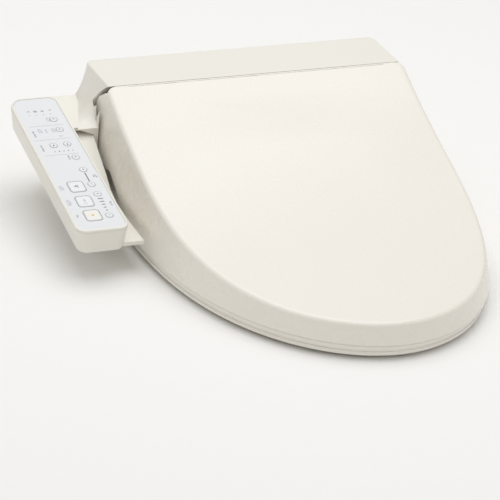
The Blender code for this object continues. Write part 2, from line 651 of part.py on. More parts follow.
def make_control_panel():
    rim = [(0.0, -2.3), (0.0, -0.9), (0.3, -0.2), (0.8, 0.3), (1.5, 0.5)]
    bezel = new_object("control_bezel", loft(
        [rounded_rectangle(inset, BOX_WIDTH - inset, inset, BOX_LENGTH - inset, BOX_CORNER - inset, w)
         for inset, w in rim], cap_first=True, cap_last=True), "ivory_abs", PANEL)
    arm_right = FLARE_X - GAP - BOX_X
    arm = prism([(BOX_WIDTH - 14.0, -ARM_LENGTH), (arm_right, -ARM_LENGTH), (arm_right, -29.0),
                 (arm_right + 1.6, 0.0), (BOX_WIDTH - 14.0, 0.0)], "Z", -5.0, -0.4)
    upper_arm = new_object("arm_top", arm, None, PANEL)
    lower_cut = prism([(BOX_WIDTH - 20.0, -ARM_LENGTH - 9), (BOX_WIDTH + 0.4, -ARM_LENGTH - 9),
                       (BOX_WIDTH + 0.4, 5.0), (BOX_WIDTH - 20.0, 5.0)], "Z", -9.0, -2.3)
    combine(upper_arm, new_object("arm_relief", lower_cut, None, PANEL), "DIFFERENCE")
    combine(bezel, upper_arm, "UNION")
    recess = [rounded_rectangle(RIM, BOX_WIDTH - RIM, RIM, BOX_LENGTH - RIM, 10.0, w) for w in (-0.9, 3.0)]
    cut(bezel, loft(recess, cap_first=True, cap_last=True), "overlay_recess", PANEL)
    edge = RIM + GAP
    overlay = new_object("panel_overlay", loft(
        [rounded_rectangle(edge, BOX_WIDTH - edge, edge, BOX_LENGTH - edge, 9.7, w) for w in (-0.6, 0.1)],
        cap_first=True, cap_last=True), "panel_film", PANEL)
    for name in KEYS:
        u, v, width, length = key_place(name)
        radius = 3.0 if width > 10 else 3.9
        steps = 4

        def outline(grow, corner, w):
            return rounded_rectangle(u - width / 2 - grow, u + width / 2 + grow, v - length / 2 - grow,
                                     v + length / 2 + grow, corner, w, steps)

        for panel_piece in (bezel, overlay):
            hole = [outline(0.35, radius + 0.35, w) for w in (-4.0, 3.0)]
            cut(panel_piece, loft(hole, cap_first=True, cap_last=True), f"{name}_hole", PANEL)
        rings = [outline(0.0, radius, -3.4), outline(0.0, radius, 0.25), outline(-0.5, radius - 0.5, 0.6)]
        finish = "stop_key" if name == "key_stop" else "key_film"
        new_object(name, loft(rings, cap_first=True, cap_last=True), finish, PANEL, (u, -v, -1.4))
    board = cuboid(8.0, BOX_WIDTH - 8.0, -BOX_LENGTH + 14.0, -14.0, -7.2, -5.6)
    new_object("panel_circuit_board", board, "board_green", PANEL)


# ---------------------------------------------------------------- inside the rear unit


def tube(name, points, radius, finish, parent=None):
    """A hose: a smooth curve through the route's points, read every few millimetres."""
    spots = [Vector(point) for point in points]
    padded = [spots[0] * 2 - spots[1]] + spots + [spots[-1] * 2 - spots[-2]]
    line = []
    for i in range(1, len(padded) - 2):
        a, b, c, d = padded[i - 1:i + 3]
        for step in range(5):
            t = step / 5
            line.append(0.5 * ((2 * b) + (c - a) * t + (2 * a - 5 * b + 4 * c - d) * t * t
                               + (3 * b - a - 3 * c + d) * t ** 3))
    line.append(spots[-1])
    curve = bpy.data.curves.new(name, "CURVE")
    curve.dimensions = "3D"
    curve.bevel_depth = radius * MM
    curve.bevel_resolution = 2
    curve.use_fill_caps = True
    spline = curve.splines.new("POLY")
    spline.points.add(len(line) - 1)
    for point, spot in zip(spline.points, line):
        point.co = (*(spot * MM), 1.0)
    curve.materials.append(material(finish))
    made = bpy.data.objects.new(name, curve)
    made.parent = parent or FRAME
    PARTS.objects.link(made)


def make_water_parts():
    new_object("water_tank", rounded_cuboid(40, 138, -47, -7, 12, 128, 6.0), "tank_plastic")
    flange = [(12.0, 0.0), (12.0, -3.0), (6.0, -3.2), (6.0, -9.0)]
    new_object("tank_heater", closed_turn(flange, 20, (39.6, -27.0, 45.0), "X"), "steel")
    valve = new_object("inlet_valve", rounded_cuboid(143.5, 162, -46, -22, 10, 34, 2.0), "nylon_white")
    add(valve, rod(8.5, (152.7, -34, 33), (152.7, -34, 56), 18), "valve_coil")
    add(valve, rod(4.0, (161, INLET_Y, PORT_Z), (174.2, INLET_Y, PORT_Z), 14), "valve_spigot")
    flow = new_object("flow_valve", rounded_cuboid(-22, 4, -46, -20, 66, 88, 2.0), "nylon_white")
    add(flow, rod(8.0, (-9, -33, 87), (-9, -33, 108), 18), "flow_motor")
    nipple = [(8.0, 0.0), (8.0, 16.0), (7.2, 17.2), (7.2, 20.0)]
    inlet = new_object("inlet_connector", closed_turn(nipple, 20, (174.5, INLET_Y, PORT_Z), "X"), "brass")
    cut(inlet, rod(4.6, (180, INLET_Y, PORT_Z), (200, INLET_Y, PORT_Z), 16), "inlet_bore")
    sleeve = [(4.9, 0.0), (4.9, 6.4), (5.6, 6.4), (5.6, 8.0), (4.2, 13.6)]
    gland = new_object("cord_gland", closed_turn(sleeve, 18, (182.0, GLAND_Y, PORT_Z), "X"), "rubber")
    cut(gland, rod(3.0, (186, GLAND_Y, PORT_Z), (200, GLAND_Y, PORT_Z), 14), "gland_bore")
    knob = [(6.0, 0.0), (6.0, 8.6), (9.5, 8.8), (9.5, 12.6), (8.7, 13.4)]
    place = (180.0, DRAIN_Y, PORT_Z)
    drain = new_object("drain_knob", closed_turn(knob, 22, place, "X"), "nylon_white", origin=place)
    for sign, tag in ((-1, "front"), (1, "rear")):
        ends = sorted((DRAIN_Y + sign * 2.2, DRAIN_Y + sign * 15.0))
        cut(drain, cuboid(190.4, 200, *ends, 0, 40), f"drain_flat_{tag}")
    tube("tank_hose", [(8.0, -33.0, 100.0), (20.0, -33.0, 110.0), (36.0, -33.0, 108.0)], 3.0,
         "hose_silicone")
    tube("nozzle_hose", [(-16.0, -33.0, 65.6), (-17.0, -34.0, 54.0), (-24.0, -46.0, 40.0),
                         (-21.0, -57.0, 31.5), (-12.4, -58.0, 30.0)], 3.0, "hose_silicone")


def gear_outline(teeth, pitch_radius, addendum, dedendum):
    """Trapezium teeth, a little thinner than half the pitch so that they run free."""
    points = []
    for i in range(teeth):
        middle = tau * i / teeth
        for share, radius in ((-0.27, -dedendum), (-0.13, addendum), (0.13, addendum), (0.27, -dedendum)):
            angle = middle + share * tau / teeth
            points.append(((pitch_radius + radius) * cos(angle), (pitch_radius + radius) * sin(angle)))
    return points


def make_nozzle():
    start = (0.0, 3.3, 0.0)
    wand = new_object("nozzle_wand", rod(WAND_RADIUS, start, (0, WAND_LENGTH, 0), 20), "steel", NOZZLE,
                      start)
    line = 6.9  # the rack's pitch line
    teeth = []
    first = PINION_V - RACK_PITCH * 1.5
    for i in range(int((WAND_LENGTH - first) / RACK_PITCH) + 1):
        middle = first + i * RACK_PITCH
        for share, rise in ((-0.27, -1.1), (-0.12, 0.8), (0.12, 0.8), (0.27, -1.1)):
            teeth.append((middle + share * RACK_PITCH, line + rise))
    front, rear = teeth[0][0] - 1.0, teeth[-1][0] + 1.0
    strip = [(front, 3.0), (front, line - 1.1)] + teeth + [(rear, line - 1.1), (rear, 3.0)]
    add(wand, prism(strip, "X", -3.0, 3.0), "rack", NOZZLE)
    rings = [[(r * cos(tau * i / 20), y, r * sin(tau * i / 20)) for i in range(20)]
             for r, y in ((2.5, 0.0), (4.8, 0.8), (WAND_RADIUS, 3.0))]
    new_object("nozzle_tip", loft(rings, cap_first=True, cap_last=True), "nylon_white", NOZZLE, start)

    # One of the pinion's teeth points down into a gap of the rack.
    y, z = PINION_V, line + PINION_TEETH / 2
    gear = gear_outline(PINION_TEETH, PINION_TEETH / 2, 0.8, 1.1)
    wheel = prism([(y + across, z + up) for across, up in gear], "X", -3.6, 3.6)
    pinion = new_object("nozzle_pinion", wheel, "nylon_white", NOZZLE, (0.0, y, z))
    cut(pinion, rod(1.9, (-6, y, z), (6, y, z), 14), "pinion_bore", NOZZLE)
    motor = new_object("nozzle_motor", rod(9.0, (5.0, y, z), (22.0, y, z), 22), "steel", NOZZLE)
    add(motor, rod(1.5, (-4.2, y, z), (5.5, y, z), 12), "motor_shaft", NOZZLE)
    add(motor, rod(4.0, (4.0, y, z), (5.5, y, z), 14), "motor_nose", NOZZLE)
    channel = [(-12.0, -9.6), (12.0, -9.6), (12.0, 2.5), (9.0, 2.5), (9.0, -6.4), (-9.0, -6.4),
               (-9.0, 2.5), (-12.0, 2.5)]
    new_object("nozzle_housing", prism(channel, "Y", 2.0, 112.0), "nylon_white", NOZZLE)


def make_air_parts():
    scroll = new_object("fan_housing", rounded_cuboid(-166, -94, -146, -80, 8, 50, 5.0), "black_abs")
    cut(scroll, rod(25.0, (FAN_X, FAN_Y, 12.0), (FAN_X, FAN_Y, 60.0), 28), "fan_room")
    cut(scroll, cuboid(-110, -90, -138, -112, 14, 46), "fan_throat")
    hub = closed_turn([(8.0, 14.0), (8.0, 40.0)], 16, (FAN_X, FAN_Y, 0.0))
    impeller = new_object("fan_impeller", hub, "nylon_white", origin=(FAN_X, FAN_Y, 27.0))
    disc = closed_turn([(21.5, 14.0), (21.5, 16.0)], 24, (FAN_X, FAN_Y, 0.0))
    add(impeller, disc, "impeller_disc")
    blades = 10
    for i in range(blades):
        blade = cuboid(7.0, 21.0, -0.8, 0.8, 15.0, 38.0)
        turn = Matrix.Translation((FAN_X, FAN_Y, 0.0)) @ Matrix.Rotation(tau * i / blades, 4, "Z")
        bmesh.ops.transform(blade, matrix=turn, verts=blade.verts)
        add(impeller, blade, f"blade_{i}")
    new_object("deodoriser_filter", rounded_cuboid(-88, -52, -150, -118, 9, 48, 2.0), "filter_carbon")


def make_electrics():
    new_object("main_circuit_board", cuboid(-150, -50, -42.0, -40.4, 14, 112), "board_green")
    core = new_object("power_transformer", cuboid(-146, -104, -36, -10, 8, 46), "coil_copper")
    bevel(core, 2.0, 1, 60)
    window = rounded_cuboid(58, 76, NOSE_FRONT - 2.0, NOSE_FRONT - GAP, 32.0, 37.5, 0.5, 1)
    new_object("seat_sensor_window", window, "sensor_window")
    x = NOSE_HALF
    button = rounded_cuboid(x, x + 8.0, BUTTON_Y - 8.0, BUTTON_Y + 8.0, PORT_Z - 5.0, PORT_Z + 5.0, 1.2, 1)
    new_object("release_button", button, "ivory_abs", origin=(x, BUTTON_Y, PORT_Z))


make_top_cover()
make_base_case()
make_mounting_plate()
make_case_screws()
make_lid()
make_seat_shells()
make_seat_arms()
make_seat_heater()
make_bumpers()
make_hinges()
make_control_case()
make_control_panel()
make_water_parts()
make_nozzle()
make_air_parts()
make_electrics()
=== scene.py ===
"""Electric bidet seat: the looks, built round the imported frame.

Sizes are in millimetres in the seat's own frame, as on its drawing: x from the bowl's centre line, y from
the wall side of the rear unit, -Y to the front, and z up from the top of the bowl.
"""
from math import cos, pi, radians, sin, sqrt, tan, tau

import bmesh
import bpy
from mathutils import Matrix, Vector


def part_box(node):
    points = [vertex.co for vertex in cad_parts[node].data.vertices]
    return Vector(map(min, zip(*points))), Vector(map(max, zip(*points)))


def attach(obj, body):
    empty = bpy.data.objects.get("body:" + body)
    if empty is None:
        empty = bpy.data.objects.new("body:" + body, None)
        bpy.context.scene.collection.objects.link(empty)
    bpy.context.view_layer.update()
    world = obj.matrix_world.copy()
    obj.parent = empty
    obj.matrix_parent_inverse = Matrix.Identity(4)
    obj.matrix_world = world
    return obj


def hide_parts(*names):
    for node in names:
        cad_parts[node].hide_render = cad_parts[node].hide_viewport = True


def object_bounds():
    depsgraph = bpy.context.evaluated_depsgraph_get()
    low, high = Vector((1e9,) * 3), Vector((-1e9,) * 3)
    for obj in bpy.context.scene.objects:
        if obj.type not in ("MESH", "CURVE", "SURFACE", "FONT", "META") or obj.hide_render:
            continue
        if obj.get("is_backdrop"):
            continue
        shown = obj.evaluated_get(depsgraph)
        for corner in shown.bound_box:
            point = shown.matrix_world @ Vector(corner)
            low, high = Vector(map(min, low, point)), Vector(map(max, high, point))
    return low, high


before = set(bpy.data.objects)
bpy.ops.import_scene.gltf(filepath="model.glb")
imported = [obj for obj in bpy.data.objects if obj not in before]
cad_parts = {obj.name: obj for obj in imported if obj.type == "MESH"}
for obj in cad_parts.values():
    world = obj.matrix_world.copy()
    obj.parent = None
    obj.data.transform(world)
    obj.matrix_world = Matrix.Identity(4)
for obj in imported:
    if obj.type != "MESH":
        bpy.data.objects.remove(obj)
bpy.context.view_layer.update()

# ---------------------------------------------------------------- Camera
# A long lens from three and a half metres away keeps the seat's straight edges nearly parallel. It stands
# to the left of the front, looks down on the lid, and is rolled a little, as a hand-levelled stand is.
AIM = Vector((-0.0697, -0.0915, 0.0628))
DISTANCE = 3.53
ROUND, DOWN, ROLL = radians(-24.66), radians(25.63), radians(4.96)
turn = Matrix.Rotation(ROUND, 4, "Z") @ Matrix.Rotation(pi / 2 - DOWN, 4, "X")
turn = turn @ Matrix.Rotation(ROLL, 4, "Z")
camera = bpy.data.objects.new("camera", bpy.data.cameras.new("camera"))
camera.data.sensor_width = 36.0
camera.data.lens = 227.8
camera.data.clip_end = 30.0
camera.matrix_world = Matrix.Translation(AIM) @ turn @ Matrix.Translation((0.0, 0.0, DISTANCE))
bpy.context.scene.collection.objects.link(camera)
bpy.context.scene.camera = camera

# ---------------------------------------------------------------- Lid
# One injection moulding in ivory polypropylene, three millimetres thick, with a wall all round that ends
# in a lip over the seat. Behind, two cheeks run back to the hinge pins, and each carries a boss.
MM = 0.001
lid_low, lid_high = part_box("lid")
wall_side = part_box("top_cover")[1].y
SEAT_FRAME = Matrix.Translation(((lid_low.x + lid_high.x) / 2, wall_side, 0.0)) @ Matrix.Scale(MM, 4)

AROUND = 200  # steps round the plan
REAR_RUN, CORNER_RUN, SIDE_RUN = 0.12, 0.20, 0.40  # where the rear, the corner and the side end
LID_HALF, LID_REAR, SIDE_END, LID_FRONT = 191.0, -85.0, -212.0, -528.6
LID_REACH = 2.3  # the lid's rear edge runs back this far past its curve, to close the seam on the cover
LID_CORNER = 8.0
LID_ALONG, SEAT_ALONG, ACROSS = 0.846, 0.9, 1.033  # powers of the front's superellipse
BODY_TOP, LID_DROP, LID_LENGTH, LID_CROWN = 151.0, 107.4, 440.0, 9.0
LID_WALL, LID_EDGE_Z = 3.0, 18.7
HINGE_Y, HINGE_Z, EAR_RADIUS, EAR_INSET = -105.0, 107.0, 48.0, 0.5
EAR_LOW = HINGE_Z - EAR_RADIUS + 4.5  # the wall's lip beside the cheek
WALL_TOP = 5.5  # the wall ends this far under the crease, and the rounded edge begins
# A share of the wall's height, and how far the wall stands out there.
FLARE = ((0.0, 6.6), (0.35, 5.0), (0.70, 3.0), (1.0, 1.2))
EDGE_DRAW, EDGE_RISE = 7.2, 6.1  # the rounded edge's reach inwards and up


def srgb(code):
    """A colour written as sRGB hex, as the linear values that a shader takes."""
    channels = [int(code[i:i + 2], 16) / 255 for i in (1, 3, 5)]
    return (*[c / 12.92 if c <= 0.04045 else ((c + 0.055) / 1.055) ** 2.4 for c in channels], 1.0)


def add_node(material, kind, settings=None, links=None):
    """A node with its settings and links. A setting is a socket's name or number, or the node's own."""
    node = material.node_tree.nodes.new(kind)
    for name, value in (settings or {}).items():
        if isinstance(name, int) or name in node.inputs:
            node.inputs[name].default_value = value
        else:
            setattr(node, name, value)
    for name, source in (links or {}).items():
        material.node_tree.links.new(source, node.inputs[name])
    return node


def new_material(name):
    """A material, and the Object coordinates that its patterns read."""
    made = bpy.data.materials.new(name)
    made.use_nodes = True
    return made, add_node(made, "ShaderNodeTexCoord").outputs["Object"]


def dress(made, ior, tone, rough, bump):
    """Links a material's colour, roughness and relief to its shader, and returns the shader."""
    shader = made.node_tree.nodes["Principled BSDF"]
    for socket, source in (("Base Color", tone.outputs[2]), ("Roughness", rough.outputs["Result"]),
                           ("Normal", bump.outputs["Normal"])):
        made.node_tree.links.new(source, shader.inputs[socket])
    shader.inputs["IOR"].default_value = ior
    return shader


def moulded_plastic(name, colour, shade, gloss, ior=1.49, peel=1.6, depth=0.0025, glow=0.0):
    """Injection-moulded plastic off a polished tool: a faint orange peel in the gloss, a slow drift of tone
    from the melt's flow, and slightly duller patches where it cooled last. gloss is its roughness."""
    made, where = new_material(name)
    flow = add_node(made, "ShaderNodeTexNoise", {"Scale": 1 / (90 * MM), "Detail": 3.0, "Roughness": 0.4},
                    {"Vector": where})
    tone = add_node(made, "ShaderNodeMix", {"data_type": "RGBA", 6: srgb(colour), 7: srgb(shade)},
                    {0: flow.outputs["Fac"]})
    dull = add_node(made, "ShaderNodeTexNoise", {"Scale": 1 / (22 * MM), "Detail": 4.0}, {"Vector": where})
    rough = add_node(made, "ShaderNodeMapRange", {"To Min": gloss * 0.94, "To Max": gloss * 1.08},
                     {"Value": dull.outputs["Fac"]})
    ripple = add_node(made, "ShaderNodeTexNoise", {"Scale": 1 / (peel * MM), "Detail": 2.0},
                      {"Vector": where})
    bump = add_node(made, "ShaderNodeBump", {"Strength": 0.35, "Distance": depth * MM},
                    {"Height": ripple.outputs["Fac"]})
    shader = dress(made, ior, tone, rough, bump)
    if glow:
        shader.inputs["Subsurface Weight"].default_value = glow
        shader.inputs["Subsurface Radius"].default_value = (1.0, 0.8, 0.55)
        shader.inputs["Subsurface Scale"].default_value = 2.0 * MM
    return made


def make_piece(name, shape, material, where=SEAT_FRAME, crisp=38.0):
    """The shape's millimetres become metres in the shared frame. crisp is the angle past which an edge
    shows."""
    bmesh.ops.transform(shape, matrix=where, verts=shape.verts)
    mesh = bpy.data.meshes.new(name)
    shape.to_mesh(mesh)
    shape.free()
    mesh.materials.append(material)
    mesh.shade_smooth()
    mesh.set_sharp_from_angle(angle=radians(crisp))
    piece = bpy.data.objects.new(name, mesh)
    bpy.context.scene.collection.objects.link(piece)
    return piece


def wall(piece, width):
    """Gives a skin its wall, inwards."""
    modifier = piece.modifiers.new("wall", "SOLIDIFY")
    modifier.thickness = width * MM
    modifier.offset = -1.0
    modifier.use_even_offset = True
    modifier.use_rim = True


def soften(piece, width, segments=3, angle=40.0):
    """Rounds the piece's edges."""
    modifier = piece.modifiers.new("soft edges", "BEVEL")
    modifier.width = width * MM
    modifier.segments = segments
    modifier.limit_method = "ANGLE"
    modifier.angle_limit = radians(angle)
    modifier.harden_normals = True


def bent_sheet(across, along, place):
    """A sheet of quads with each point moved to place(u, v), which both run from 0 to 1. What meets is
    merged."""
    shape = bmesh.new()
    bmesh.ops.create_grid(shape, x_segments=across, y_segments=along, size=0.5)
    for vert in shape.verts:
        vert.co = place(vert.co.x + 0.5, vert.co.y + 0.5)
    bmesh.ops.remove_doubles(shape, verts=shape.verts, dist=0.01)
    return shape


def join(shape, other):
    """Moves the other shape's faces into the first."""
    spare = bpy.data.meshes.new("spare")
    other.to_mesh(spare)
    other.free()
    shape.from_mesh(spare)
    bpy.data.meshes.remove(spare)


def plan_point(share, half, rear, side_end, front, corner, along):
    """A point of a plan outline: share goes from the middle of the rear, round by the right and the front,
    back to where it began. The sides are straight, and the front is a superellipse."""
    run = 2 * min(share, 1 - share)
    if run < REAR_RUN:
        x, y = (half - corner) * run / REAR_RUN, rear
    elif run < CORNER_RUN:
        angle = pi / 2 * (run - REAR_RUN) / (CORNER_RUN - REAR_RUN)
        x, y = half - corner + corner * sin(angle), rear - corner + corner * cos(angle)
    elif run < SIDE_RUN:
        x = half
        y = rear - corner + (side_end - rear + corner) * (run - CORNER_RUN) / (SIDE_RUN - CORNER_RUN)
    else:
        angle = pi / 2 * (run - SIDE_RUN) / (1 - SIDE_RUN)
        x = half * max(cos(angle), 0.0) ** ACROSS
        y = side_end + (front - side_end) * sin(angle) ** along
    return (x if share <= 0.5 else -x), y


def lid_plan(share, offset, rear=LID_REAR + LID_REACH, corner=LID_CORNER):
    return plan_point(share, LID_HALF + offset, rear, SIDE_END, LID_FRONT - offset, corner, LID_ALONG)


def crease_height(y):
    """The lid's rounded upper edge falls steeply behind and is level at the front."""
    u = max(LID_REAR - y, 0.0) / LID_LENGTH
    return BODY_TOP - 0.6 - LID_DROP * (-0.102 * u + 1.102 * (2 * u - u * u))


def lip_height(x, y):
    """The lid's lower lip: level along the seat, rising to the cheeks, and short behind."""
    if abs(x) < LID_HALF - 9.0 and y > LID_REAR - 1.5:
        return BODY_TOP - 10.0
    if y <= -200.0:
        return LID_EDGE_Z
    return min(EAR_LOW, LID_EDGE_Z + (EAR_LOW - LID_EDGE_Z) * (y + 200.0) / 74.7)


def flare_at(share):
    """How far the wall stands out at a share of its height."""
    for (low, first), (high, second) in zip(FLARE, FLARE[1:]):
        if share <= high:
            return first + (second - first) * (share - low) / (high - low)
    return FLARE[-1][1]


def crown_share(y):
    """The crown fades out towards the straight rear edge, which is level with the rear unit."""
    share = min(max((LID_REAR - y) / 110.0, 0.0), 1.0)
    return share * share * (3 - 2 * share)


LID_RINGS = ([("wall", share) for share in (0.0, 0.05, 0.12, 0.22, 0.35, 0.5, 0.7, 0.85, 1.0)]
             + [("round", step / 7) for step in range(1, 8)]
             + [("top", share) for share in (0.03, 0.07, 0.12, 0.19, 0.28, 0.38, 0.5, 0.64, 0.8, 1.0)])


def lid_skin(u, v):
    kind, share = LID_RINGS[round(v * (len(LID_RINGS) - 1))]
    if kind == "wall":
        x, y = lid_plan(u, flare_at(share))
        low = lip_height(x, y)
        return Vector((x, y, low + (crease_height(y) - WALL_TOP - low) * share))
    if kind == "round":
        angle = pi / 2 * share
        x, y = lid_plan(u, FLARE[-1][1] - EDGE_DRAW * (1 - cos(angle)))
        return Vector((x, y, crease_height(y) - WALL_TOP + EDGE_RISE * sin(angle)))
    x, y = lid_plan(u, FLARE[-1][1] - EDGE_DRAW)
    spine = min(max(y, -400.0), -150.0)
    x, y = x * (1 - share), y + (spine - y) * share
    crown = LID_CROWN * (1 - (1 - share) ** 2)
    return Vector((x, y, crease_height(y) + EDGE_RISE - WALL_TOP + crown * crown_share(y)))


def ring_boss(radius, bore, x0, x1, y, z):
    """A round boss along X with a hole through it."""
    shape = bmesh.new()
    section = ((x0, bore), (x0, radius), (x1, radius), (x1, bore))
    spots = [shape.verts.new((x, y, z + r)) for x, r in section]
    edges = [shape.edges.new((spots[i], spots[(i + 1) % 4])) for i in range(4)]
    bmesh.ops.spin(shape, geom=spots + edges, cent=(0, y, z), axis=(1, 0, 0), angle=tau, steps=48,
                   use_merge=True)
    bmesh.ops.remove_doubles(shape, verts=shape.verts, dist=0.001)
    bmesh.ops.recalc_face_normals(shape, faces=shape.faces)
    return shape


def ear(side):
    """The cheek: a plate round the hinge, flush with the lid's wall, that stops under the crease."""
    def place(u, v):
        angle = tau * u
        y = HINGE_Y + EAR_RADIUS * sin(angle)
        z = HINGE_Z - EAR_RADIUS * cos(angle)
        ceiling = min(145.0 - 0.62 * (y + 85.0), crease_height(y) - 7.0)
        z = min(z, ceiling)
        reach = min(v * 3, 1.0) if v < 0.5 else min((1 - v) * 3, 1.0)
        y, z = HINGE_Y + (y - HINGE_Y) * reach, HINGE_Z + (z - HINGE_Z) * reach
        share = (z - EAR_LOW) / (crease_height(y) - WALL_TOP - EAR_LOW)
        flush = LID_HALF + flare_at(min(max(share, 0.0), 1.0))
        return Vector((side * (flush - EAR_INSET if v < 0.5 else 187.0), y, z))

    shape = bent_sheet(72, 15, place)
    bmesh.ops.recalc_face_normals(shape, faces=shape.faces)
    return shape


ivory_polypropylene = moulded_plastic("ivory_polypropylene_moulded", "#F3F0E8", "#F1EDE4", gloss=0.27)
skin = bent_sheet(AROUND, len(LID_RINGS) - 1, lid_skin)
bmesh.ops.recalc_face_normals(skin, faces=skin.faces)
lid = make_piece("lid_moulding", skin, ivory_polypropylene, crisp=60.0)
wall(lid, LID_WALL)
soften(lid, 0.7, 2, 60.0)
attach(lid, "lid")
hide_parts("lid")
for side, tag in ((-1, "left"), (1, "right")):
    cheek = ear(side)
    join(cheek, ring_boss(11.5, 4.4, side * 169.0, side * 188.0, HINGE_Y, HINGE_Z))
    cheek = make_piece(f"lid_cheek_{tag}", cheek, ivory_polypropylene)
    soften(cheek, 0.8, 3, 50.0)
    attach(cheek, "lid")

# ---------------------------------------------------------------- Seat ring
# The heated seat is two polypropylene mouldings welded edge to edge, which leaves the fine line round its
# side. The upper one has the polished top and two arms to the hinge, the lower one a plain tray.
SEAT_REAR, SEAT_CORNER, SEAT_WALL, PARTING, TRAY_BOTTOM = -172.0, 24.0, 2.5, 10.8, 3.3
HOLE_HALF, HOLE_REAR, HOLE_SIDE_END, HOLE_FRONT, HOLE_CORNER = 104.0, -205.0, -285.0, -455.0, 60.0
TOP_INSET, HOLE_ROUND = 11.0, 18.0  # the top lies between its two rounded edges
SEAM = 0.3
NOTCH_HALF, NOTCH_TOP = 24.0, 30.0


def seat_plan(share, offset):
    return lid_plan(share, offset, SEAT_REAR, SEAT_CORNER)


def hole_plan(share, offset):
    return plan_point(share, HOLE_HALF + offset, HOLE_REAR + offset, HOLE_SIDE_END, HOLE_FRONT - offset,
                      HOLE_CORNER + offset, SEAT_ALONG)


def seat_top(y):
    """The seat rises a little to the rear."""
    return 34.0 + (y - LID_FRONT) * 0.07


def seat_rings():
    """The upper shell's rings, each (outline, offset, height above the seat's top, or fixed height)."""
    rings = [("outer", 5.0, None, PARTING + SEAM), ("outer", 5.0, None, 16.6), ("outer", 4.7, None, 17.3),
             ("outer", 4.0, None, 17.7), ("outer", 1.0, None, 18.1), ("outer", -1.5, None, 18.4),
             ("outer", -2.2, None, 19.4), ("outer", -3.0, -8.0, None)]
    for step in range(1, 8):
        angle = pi / 2 * step / 7
        rings.append(("outer", -3.0 - (TOP_INSET - 3.0) * (1 - cos(angle)), -8.0 + 8.0 * sin(angle), None))
    rings += [("between", share, 0.5 * sin(pi * share), None) for share in (0.15, 0.3, 0.5, 0.7, 0.85)]
    for step in range(8):
        angle = pi / 2 * step / 7
        rings.append(("hole", HOLE_ROUND * (1 - sin(angle)), -14.0 * (1 - cos(angle)), None))
    rings.append(("hole", 0.0, None, PARTING + SEAM))
    return rings


def shell_point(rings, u, v):
    kind, offset, rise, height = rings[round(v * (len(rings) - 1))]
    if kind == "outer":
        x, y = seat_plan(u, offset)
    elif kind == "hole":
        x, y = hole_plan(u, offset)
    else:
        (x, y), (inner_x, inner_y) = seat_plan(u, -TOP_INSET), hole_plan(u, HOLE_ROUND)
        x, y = x + (inner_x - x) * offset, y + (inner_y - y) * offset
    return Vector((x, y, seat_top(y) + rise if height is None else height))


def cut_notch(shape):
    """Opens the ring's rear wall where the nozzle comes out, straight edged."""
    for spot, normal in (((NOTCH_HALF, 0, 0), (1, 0, 0)), ((-NOTCH_HALF, 0, 0), (-1, 0, 0)),
                         ((0, 0, NOTCH_TOP), (0, 0, 1))):
        near = [f for f in shape.faces if f.calc_center_median().y > HOLE_REAR - 12.0
                and abs(f.calc_center_median().x) < 2 * NOTCH_HALF]
        edges, verts = {e for f in near for e in f.edges}, {v for f in near for v in f.verts}
        bmesh.ops.bisect_plane(shape, geom=[*near, *edges, *verts], plane_co=spot, plane_no=normal)
    inside = [f for f in shape.faces if abs(f.calc_center_median().x) < NOTCH_HALF
              and f.calc_center_median().z < NOTCH_TOP and f.calc_center_median().y > HOLE_REAR - 12.0]
    bmesh.ops.delete(shape, geom=inside, context="FACES")


def slab(outline, axis, low, high):
    """A flat outline, drawn in the two other axes in X, Y, Z order, extruded along one axis."""
    shape = bmesh.new()
    spots = []
    for first, second in outline:
        spot = [first, second]
        spot.insert("XYZ".index(axis), low)
        spots.append(shape.verts.new(spot))
    face = shape.faces.new(spots)
    grown = bmesh.ops.extrude_face_region(shape, geom=[face])["geom"]
    step = Vector([high - low if letter == axis else 0.0 for letter in "XYZ"])
    bmesh.ops.translate(shape, vec=step, verts=[g for g in grown if isinstance(g, bmesh.types.BMVert)])
    bmesh.ops.recalc_face_normals(shape, faces=shape.faces)
    return shape


seat_polypropylene = moulded_plastic("ivory_polypropylene_polished", "#F3F0E8", "#F1EDE4", gloss=0.22)
UPPER_RINGS = seat_rings()
skin = bent_sheet(AROUND, len(UPPER_RINGS) - 1, lambda u, v: shell_point(UPPER_RINGS, u, v))
bmesh.ops.recalc_face_normals(skin, faces=skin.faces)
cut_notch(skin)
upper_shell = make_piece("seat_upper_moulding", skin, seat_polypropylene, crisp=60.0)
wall(upper_shell, SEAT_WALL)
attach(upper_shell, "seat")
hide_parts("seat_upper_shell")
for side, tag in ((-1, "left"), (1, "right")):
    low, high = sorted((side * 130.0, side * 147.0))
    arm = slab([(HINGE_Y, HINGE_Z + 12.6), (HINGE_Y - 30.0, HINGE_Z + 4.0), (-190.0, 58.0), (-198.0, 50.0),
                (-182.0, 44.0), (HINGE_Y - 8.0, HINGE_Z - 10.5), (HINGE_Y, HINGE_Z - 12.6)], "X", low, high)
    join(arm, ring_boss(13.0, 4.4, low, high, HINGE_Y, HINGE_Z))
    arm = make_piece(f"seat_hinge_arm_{tag}", arm, seat_polypropylene)
    soften(arm, 1.2, 3)
    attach(arm, "seat")
    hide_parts(f"seat_arm_{tag}")

